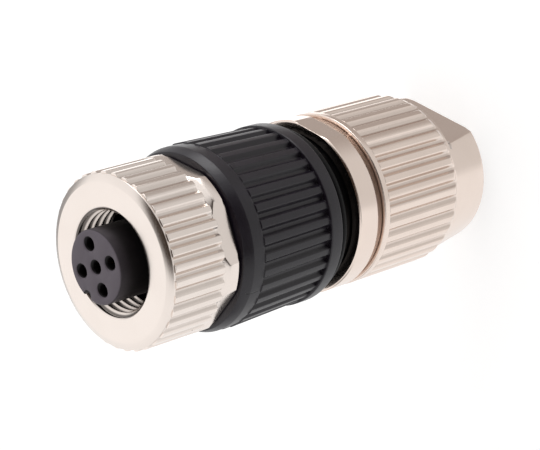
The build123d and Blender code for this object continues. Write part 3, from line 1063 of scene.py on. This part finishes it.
# The gland's recess settings paint shade into its knurl's grooves.
GLAND_PLATING = replace(
    HOUSING_PLATING, name="nickel_gland", recess_share=0.3, floor_r=9.79, ridge_r=10.07,
    recess_low=6.4, recess_high=18.0, specks=0.3,
)
SPRING_STEEL = Plating("spring_wire", base=(0.62, 0.61, 0.60), shade=(0.5, 0.49, 0.48), roughness=0.3)
DRAWN_SCREEN = Plating("drawn_screen", base=(0.74, 0.69, 0.62), shade=(0.6, 0.55, 0.49), roughness=0.26)
CONTACT_GOLD = Plating("gold_plate", base=(0.9, 0.66, 0.28), shade=(0.78, 0.55, 0.22), roughness=0.2)
GRIP_PLASTIC = Moulding(
    "grip_moulding", (0.0098, 0.0068, 0.0122), (0.023, 0.0175, 0.0275), roughness=0.36, grain=5.0,
    grain_depth=0.011, wave_depth=0.01, seam_turn=-45.4, seam_low=38.3, seam_high=39.9,
)
NECK_PLASTIC = Moulding(
    "neck_plastic", (0.002, 0.002, 0.0025), (0.004, 0.004, 0.0045), roughness=0.3, grain_depth=0.002,
    specular=0.1,
)
INSERT_PLASTIC = SocketMoulding("insert_moulding", INSERT_HOLES)
INSULATOR = Moulding("insulator_moulding", (0.04, 0.04, 0.045), (0.06, 0.06, 0.065), roughness=0.5)
ORGANISER_PLASTIC = Moulding("organiser_moulding", (0.58, 0.58, 0.56), (0.66, 0.66, 0.64), roughness=0.45)
CLAMP_PLASTIC = Moulding("clamp_moulding", (0.62, 0.62, 0.6), (0.7, 0.7, 0.68), roughness=0.45)
RUBBER = Moulding(
    "nitrile_rubber", (0.003, 0.003, 0.0035), (0.007, 0.007, 0.008), roughness=0.42, grain=6.0, specular=0.14
)


# Sub-assemblies


@dataclass
class CouplingNut:
    """Knurled nut with a hexagon behind the knurl and a screw thread inside."""

    lip_step: float = 0.24
    lip_length: float = 0.22
    lip_support: float = 0.05
    face_step: float = 1.07
    face_rise: float = 0.39
    corner_drop: float = 0.45
    corner_length: float = 0.7
    corner_rows: int = 5
    mouth_edge: float = 0.12
    face_ring: float = 0.3
    rear_edge: float = 0.25
    hex_length: float = 2.17
    hex_flat_depth: float = 0.62
    hex_turn: float = -2.75
    knurl_turn: float = -0.5
    crest_r: float = 5.45
    thread_depth: float = 0.53
    lead: float = 0.61
    relief: float = 0.7
    relief_height: float = 3.97
    ring_groove_height: float = 1.02
    ring_groove_length: float = 0.9
    ring_groove_depth: float = 0.6

    def build(self) -> None:
        """Builds the nut and dresses it."""
        ridge_r, rear, front = reach("coupling_nut")
        knurl = Knurl(ridge_r, self.knurl_turn)
        hexagon = Flats(6, ridge_r - self.hex_flat_depth, self.hex_turn)
        knurl_rear = rear + self.hex_length
        corner_start = (ridge_r, knurl_rear - self.corner_length)
        corner = ramp(corner_start, (ridge_r - self.corner_drop, knurl_rear), self.corner_rows)
        lip_front = front - self.face_rise
        lip_rear = lip_front - self.lip_length
        mouth_r = self.crest_r + self.lead
        relief_r = self.crest_r + self.relief
        groove_low = rear + self.ring_groove_height
        groove_high = groove_low + self.ring_groove_length
        groove_r = relief_r + self.ring_groove_depth
        outer = [
            Station(relief_r, rear, soft=0.0),
            Station(ridge_r - self.rear_edge, rear, hexagon),
            Station(ridge_r, rear + self.rear_edge, hexagon),
            *slope_stations(corner, hexagon),
            Station(ridge_r, knurl_rear, knurl, soft=0.03),
            Station(ridge_r, lip_rear, knurl, soft=0.03),
            Station(ridge_r - self.lip_step, lip_rear, soft=0.02),
            Station(ridge_r - self.lip_step, lip_rear + self.lip_support, soft=0.0),
            Station(ridge_r - self.lip_step, lip_front, soft=0.04),
            Station(ridge_r - self.face_step, front, soft=0.03),
            Station(mouth_r + self.face_ring, front, soft=0.0),
            Station(mouth_r, front, soft=0.03),
            Station(mouth_r - self.mouth_edge, front - self.mouth_edge, soft=0.0),
        ]
        thread = Thread(
            low=rear + self.relief_height,
            high=front - self.mouth_edge,
            low_r=relief_r,
            high_r=mouth_r - self.mouth_edge,
            crest_r=self.crest_r,
            root_r=self.crest_r + self.thread_depth,
            downwards=True,
        )
        inner = [
            thread,
            Station(relief_r, groove_high),
            Station(groove_r, groove_high),
            Station(groove_r, groove_low),
            Station(relief_r, groove_low),
        ]
        corner_radii = [radius for radius, _ in corner]
        cuts = knurl.columns() + hexagon.columns([ridge_r - self.rear_edge, *corner_radii])
        made = Turning("knurled_coupling_nut", outer, inner, cuts).build()
        stand_for(made, "coupling_nut", Body.NUT)
        dress(made, NUT_PLATING)


@dataclass
class GripSleeve:
    """Black grip: chamfered front flange, long knurl and rear ring."""

    flare: float = 0.3
    flange_proud: float = 0.17
    ring_proud: float = 0.2
    ring_length: float = 1.81
    ring_edge: float = 0.15
    ring_support: float = 0.25
    flange_length: float = 2.7
    flange_support: float = 0.2
    flange_chamfer: float = 1.15
    flange_face_step: float = 0.4
    boss_r: float = 8.5
    boss_height: float = 0.23
    front_bore_r: float = 6.0
    bore_r: float = 8.05
    front_wall: float = 0.45
    knurl_turn: float = 0.8
    knurl_softness: float = 0.06

    def build(self) -> None:
        """Builds the sleeve and dresses it."""
        wide_ridge_r, rear, boss_front = reach("grip_sleeve")
        front = boss_front - self.boss_height
        ridge_r = wide_ridge_r - self.flare
        ring_r = ridge_r + self.ring_proud
        flange_r = ridge_r + self.flange_proud
        knurl = Knurl(ridge_r, self.knurl_turn, softness=self.knurl_softness)
        wide_knurl = Knurl(wide_ridge_r, self.knurl_turn, softness=self.knurl_softness)
        ring_front = rear + self.ring_length
        flange_rear = front - self.flange_length
        outer = [
            Station(self.bore_r, rear, soft=0.0),
            Station(ring_r - self.ring_edge, rear),
            Station(ring_r, rear + self.ring_edge, soft=0.1),
            Station(ring_r, ring_front - self.ring_support, soft=0.0),
            Station(ring_r, ring_front, soft=0.1),
            Station(ridge_r, ring_front, knurl),
            Station(wide_ridge_r, flange_rear, wide_knurl),
            Station(flange_r, flange_rear, soft=0.08),
            Station(flange_r, flange_rear + self.flange_support, soft=0.0),
            Station(flange_r, front - self.flange_chamfer, soft=0.06),
            Station(flange_r - self.flange_face_step, front, soft=0.06),
            Station(self.boss_r, front),
            Station(self.boss_r, boss_front),
            Station(self.front_bore_r, boss_front),
        ]
        inner = [
            Station(self.front_bore_r, front - self.front_wall),
            Station(self.bore_r, front - self.front_wall),
            Station(self.bore_r, rear, soft=0.0),
        ]
        made = Turning("ribbed_grip_sleeve", outer, inner, knurl.columns()).build()
        stand_for(made, "grip_sleeve", Body.CONTACTS)
        dress(made, GRIP_PLASTIC)


@dataclass
class RearHousing:
    """Metal collar with two spanner flats, a turned band and the threaded stem behind it."""

    collar_length: float = 2.82
    collar_chamfer: float = 0.18
    collar_rear_chamfer: float = 0.35
    flat_depth: float = 0.33
    flat_turn: float = 53.1
    band_step: float = 0.42
    band_length: float = 1.1
    bore_r: float = 8.65
    bore_edge: float = 0.15
    counterbore_depth: float = 2.17
    thread_bore_r: float = 7.45
    stem_r: float = 8.2
    stem_thread_depth: float = 0.4
    stem_runout: float = 0.1
    seat_floor: float = 11.8
    seat_opening_r: float = 4.9
    seat_wall: float = 0.8
    seal_bore_r: float = 6.4

    def build(self) -> None:
        """Builds the housing and dresses it."""
        collar_r, stem_end, front = reach("rear_housing")
        collar = front - self.collar_length
        band = collar - self.band_length
        band_r = collar_r - self.band_step
        flats = Flats(2, collar_r - self.flat_depth, self.flat_turn)
        collar_rear = collar - self.collar_rear_chamfer
        root_r = self.stem_r - self.stem_thread_depth
        end_r = root_r - self.stem_runout
        stem_thread = Thread(stem_end, band, end_r, end_r, self.stem_r, root_r)
        outer = [
            stem_thread,
            Station(band_r, band),
            Station(band_r, collar_rear),
            Station(collar_r - self.collar_rear_chamfer, collar_rear, flats),
            Station(collar_r, collar, flats),
            Station(collar_r, front - self.collar_chamfer, flats, soft=0.04),
            Station(collar_r - self.collar_chamfer, front, flats, soft=0.04),
            Station(self.bore_r + self.bore_edge, front, soft=0.02),
        ]
        inner = [
            Station(self.bore_r, front - self.bore_edge),
            Station(self.bore_r, front - self.counterbore_depth),
            Station(self.thread_bore_r, front - self.counterbore_depth),
            Station(self.thread_bore_r, self.seat_floor),
            Station(self.seat_opening_r, self.seat_floor),
            Station(self.seat_opening_r, self.seat_floor - self.seat_wall),
            Station(self.seal_bore_r, self.seat_floor - self.seat_wall),
            Station(self.seal_bore_r, stem_end, soft=0.0),
        ]
        cuts = flats.columns([collar_r, collar_r - self.collar_chamfer / 2])
        made = Turning("turned_rear_housing", outer, inner, cuts).build()
        stand_for(made, "rear_housing", Body.HOUSING)
        dress(made, HOUSING_PLATING)


@dataclass
class GlandNut:
    """Knurled gland nut that narrows to the cable entry, with two spanner flats."""

    lip_step: float = 0.03
    lip_length: float = 0.82
    lip_chamfer: float = 0.1
    lip_support: float = 0.15
    knurl_turn: float = 4.6
    cone_height: float = 5.8
    knee_step: float = 0.5
    runout: float = 1.2
    rear_r: float = 8.84
    rear_edge: float = 0.5
    rear_edge_end: float = 0.15
    flat_half: float = 7.15
    flat_turn: float = 53.1
    flat_height: float = 5.65
    entry_r: float = 4.25
    entry_chamfer: float = 0.25
    entry_length: float = 2.0
    entry_cone_r: float = 4.75
    cage_seat_r: float = 6.4
    cone_top: float = 4.9
    step_height: float = 6.6
    bore_r: float = 8.25
    cone_rows: int = 8

    def build(self) -> None:
        """Builds the nut and dresses it."""
        ridge_r, rear, front = reach("gland_nut")
        knurl = Knurl(ridge_r, self.knurl_turn)
        flats = Flats(2, self.flat_half, self.flat_turn)
        knee_r = ridge_r - self.knee_step
        lip_r = ridge_r - self.lip_step
        slope = (knee_r - self.rear_r) / (self.cone_height - self.rear_edge)
        flat_top_r = self.rear_r + slope * (self.flat_height - self.rear_edge)
        cone = ramp((self.rear_r, self.rear_edge), (flat_top_r, self.flat_height), self.cone_rows)
        runout_front = (ridge_r, self.cone_height + self.runout)
        knurl_end = ramp((knee_r, self.cone_height), runout_front, self.cone_rows, gentle=True)
        turned_edge = self.rear_edge_end * self.rear_edge
        lip_rear = front - self.lip_length
        outer = [
            Station(self.entry_r + self.entry_chamfer, rear, soft=0.0),
            Station(self.rear_r - self.rear_edge, rear, flats, soft=0.0),
            Station(self.rear_r - turned_edge, rear + turned_edge, flats, soft=0.3),
            *slope_stations(cone, flats),
            Station(flat_top_r, self.flat_height, soft=0.03),
            *slope_stations(knurl_end, knurl),
            Station(ridge_r, lip_rear, knurl),
            Station(lip_r, lip_rear),
            Station(lip_r, lip_rear + self.lip_support, soft=0.0),
            Station(lip_r, front - self.lip_chamfer),
            Station(lip_r - self.lip_chamfer, front),
            Station(self.bore_r, front, soft=0.0),
        ]
        inner = [
            Station(self.bore_r, self.step_height),
            Station(self.cage_seat_r, self.step_height),
            Station(self.cage_seat_r, self.cone_top),
            Station(self.entry_cone_r, self.entry_length),
            Station(self.entry_r, self.entry_length),
            Station(self.entry_r, self.entry_chamfer),
            Station(self.entry_r + self.entry_chamfer, rear, soft=0.0),
        ]
        cuts = knurl.columns() + flats.columns([radius for radius, _ in cone])
        made = Turning("knurled_gland_nut", outer, inner, cuts).build()
        stand_for(made, "gland_nut", Body.GLAND)
        dress(made, GLAND_PLATING)


@dataclass
class KeptPieces:
    """Pieces that keep their own meshes, with eased edges."""

    eased: float = 0.04
    pieces: tuple[tuple[str, Finish, Slot], ...] = ()

    def build(self) -> None:
        """Dresses the pieces."""
        for node, finish, slot in self.pieces:
            dress(ease_edges(node, self.eased), finish)


@dataclass
class ContactBody(KeptPieces):
    """Contact housing, insert, contacts, seals, screen and the nut's snap ring."""

    pieces: tuple[tuple[str, Finish, Slot], ...] = (
        ("contact_housing", NECK_PLASTIC, Slot.GLOSS_PLASTIC),
        ("contact_insert", INSERT_PLASTIC, Slot.INSERT_PLASTIC),
        ("contact_retainer", INSULATOR, Slot.INSULATOR),
        ("insert_seal", RUBBER, Slot.RUBBER),
        ("body_o_ring", RUBBER, Slot.RUBBER),
        ("screening_sleeve", DRAWN_SCREEN, Slot.SCREEN_METAL),
        ("retaining_ring", SPRING_STEEL, Slot.SPRING_STEEL),
        *[(f"contact_{number}", CONTACT_GOLD, Slot.CONTACT_GOLD) for number in range(1, 6)],
    )


@dataclass
class CableClamp(KeptPieces):
    """Pieces behind the contacts: organiser, shield ring, cable seal, washer and clamp cage."""

    pieces: tuple[tuple[str, Finish, Slot], ...] = (
        ("wire_organiser", ORGANISER_PLASTIC, Slot.ORGANISER_PLASTIC),
        ("shield_ring", DRAWN_SCREEN, Slot.SCREEN_METAL),
        ("cable_seal", RUBBER, Slot.RUBBER),
        ("thrust_washer", CLAMP_PLASTIC, Slot.CLAMP_PLASTIC),
        ("clamp_cage", CLAMP_PLASTIC, Slot.CLAMP_PLASTIC),
    )


# Studio


@dataclass(frozen=True)
class Wedge:
    """A stretch of the studio between two headings and two heights, each height a share of straight up."""

    start: float
    end: float
    low: float
    high: float
    tone: Colour
    edge: float = 0.05

    def share(self, tree: ShaderTree, towards: Signals) -> Signal:
        """Works out how far a direction lies in the stretch.

        Args:
            tree: the world's tree.
            towards: the direction along X, Y and Z.

        Returns:
            1 inside and 0 outside.
        """
        across, aside, height = towards
        first, last = math.radians(self.start), math.radians(self.end)
        past_start = tree.step(aside * math.cos(first) - across * math.sin(first), -self.edge, self.edge)
        before_end = tree.step(across * math.sin(last) - aside * math.cos(last), -self.edge, self.edge)
        return past_start * before_end * tree.between(height, self.low, self.high, self.edge)


@dataclass(frozen=True)
class Patch:
    """A round patch of the studio, full within one angle from its middle and gone at another."""

    towards: Place
    inner: float
    outer: float
    tone: Colour

    def share(self, _tree: ShaderTree, towards: Signals) -> Signal:
        """Works out how far a direction lies in the patch.

        Args:
            towards: the direction along X, Y and Z.

        Returns:
            1 inside and 0 outside.
        """
        middle = Vector(self.towards).normalized()
        facing = towards[0] * middle.x + towards[1] * middle.y + towards[2] * middle.z
        inner = math.cos(math.radians(self.inner))
        outer = math.cos(math.radians(self.outer))
        return facing.tree.step(facing, outer, inner)


def grey(level: float) -> Colour:
    """A grey of a level."""
    return (level, level, level)


@dataclass
class Studio:
    """Pale floor, a pale tent with darker and brighter zones, one soft lamp, and the camera."""

    target: Place = (-1.55, -1.05, 26.0)
    distance: float = 225.07
    elevation: float = 41.97
    azimuth: float = 90.0
    roll: float = -106.98
    lens: float = 132.94
    near_clip: float = 0.01
    floor_half: float = 1.5
    paper: float = 0.62
    lamp_place: Place = (40.0, 330.0, 90.0)
    lamp_size: float = 260.0
    lamp_power: float = 0.6
    tent: Colour = (0.95, 0.95, 0.95)
    zones: tuple[Wedge | Patch, ...] = (
        Wedge(-28.0, 128.0, -1.2, -0.28, (0.72, 0.71, 0.7)),
        Patch((-0.07, 0.69, -0.72), 12.0, 40.0, (0.45, 0.415, 0.395)),
        Wedge(-40.0, 36.0, -0.28, 0.4, (0.06, 0.05, 0.045)),
        Patch((0.45, 0.17, 0.89), 26.5, 43.0, (0.033, 0.02, 0.012)),
        Patch((0.2, 0.96, -0.13), 8.0, 21.0, grey(4.4)),
        Patch((-0.643, 0.372, -0.669), 6.0, 20.0, grey(1.5)),
        Patch((-0.743, 0.0, 0.669), 15.0, 45.0, grey(1.03)),
        Patch((-0.9, 0.35, -0.1), 8.0, 30.0, grey(0.35)),
        Patch((-0.3, -0.95, 0.05), 6.0, 24.0, grey(0.35)),
    )

    def camera(self) -> None:
        """Sets the camera at the photograph's angle."""
        data = bpy.data.cameras.new("camera")
        data.lens = self.lens
        data.clip_start = self.near_clip
        turn = math.radians(self.azimuth)
        rise = math.radians(self.elevation)
        back = Vector((math.sin(turn) * math.cos(rise), -math.cos(turn) * math.cos(rise), math.sin(rise)))
        level = Vector((math.cos(turn), math.sin(turn), 0.0))
        above = back.cross(level)
        roll = math.radians(self.roll)
        right = level * math.cos(roll) + above * math.sin(roll)
        up = back.cross(right)
        made = linked("camera", data)
        made.matrix_world = Matrix.Translation((Vector(self.target) + back * self.distance) * MM) @ Matrix(
            (right, up, back)
        ).transposed().to_4x4()
        bpy.context.scene.camera = made

    def world(self) -> None:
        """Lights the object from all round, less or more from some zones, before a white background."""
        made = bpy.data.worlds.new("tent")
        bpy.context.scene.world = made
        tree = ShaderTree(made)
        direction = tree.node("ShaderNodeTexCoord").outputs["Generated"]
        split = tree.node("ShaderNodeSeparateXYZ", inputs={0: direction})
        towards = tuple(Signal(tree, socket) for socket in split.outputs)
        tone: Any = self.tent
        for zone in self.zones:
            tone = tree.mix(zone.share(tree, towards), tone, zone.tone)
        seen = Signal(tree, tree.node("ShaderNodeLightPath").outputs["Is Camera Ray"])
        colour = tree.mix(seen, tone, (1.0, 1.0, 1.0))
        background = tree.node("ShaderNodeBackground", inputs={"Color": colour, "Strength": 1.0})
        tree.node("ShaderNodeOutputWorld", inputs={"Surface": background.outputs[0]})

    def floor(self) -> None:
        """Lays a pale floor that keeps the object's shadow before white."""
        half = self.floor_half
        corners = [(-half, -half, 0), (half, -half, 0), (half, half, 0), (-half, half, 0)]
        mesh = bpy.data.meshes.new("floor")
        mesh.from_pydata(corners, [], [(0, 1, 2, 3)])
        made = linked("floor", mesh)
        material = bpy.data.materials.new("pale_floor")
        tree = ShaderTree(material)
        paper = tree.node("ShaderNodeBsdfDiffuse", inputs={"Color": (*grey(self.paper), 1.0)})
        glow = tree.node("ShaderNodeEmission", inputs={"Color": (1, 1, 1, 1), "Strength": self.paper})
        shown = tree.node("ShaderNodeLightPath").outputs["Is Camera Ray"]
        both = tree.node("ShaderNodeAddShader", inputs={0: paper.outputs[0], 1: glow.outputs[0]})
        surface = tree.node("ShaderNodeMixShader", inputs={0: shown, 1: paper.outputs[0], 2: both.outputs[0]})
        tree.node("ShaderNodeOutputMaterial", inputs={"Surface": surface.outputs[0]})
        mesh.materials.append(material)
        made.visible_glossy = False

    def lamp(self) -> None:
        """Hangs one square soft lamp that faces the object."""
        data = bpy.data.lights.new("soft_key", "AREA")
        data.shape = "SQUARE"
        data.size = self.lamp_size * MM
        data.energy = self.lamp_power
        place = Vector(self.lamp_place)
        made = linked("soft_key", data)
        made.visible_glossy = False
        made.location = place * MM
        made.rotation_euler = (place - Vector(self.target)).to_track_quat("Z", "Y").to_euler()

    def build(self) -> None:
        """Sets up the camera, the floor and the light."""
        self.camera()
        self.world()
        self.floor()
        self.lamp()
        bpy.context.scene.view_settings.view_transform = "Standard"


def main() -> None:
    """Builds the connector and its studio."""
    logging.basicConfig(level=logging.INFO, format="%(message)s")
    Studio().build()
    for part in (CouplingNut(), GripSleeve(), RearHousing(), GlandNut(), ContactBody(), CableClamp()):
        part.build()


if __name__ == "__main__":
    main()
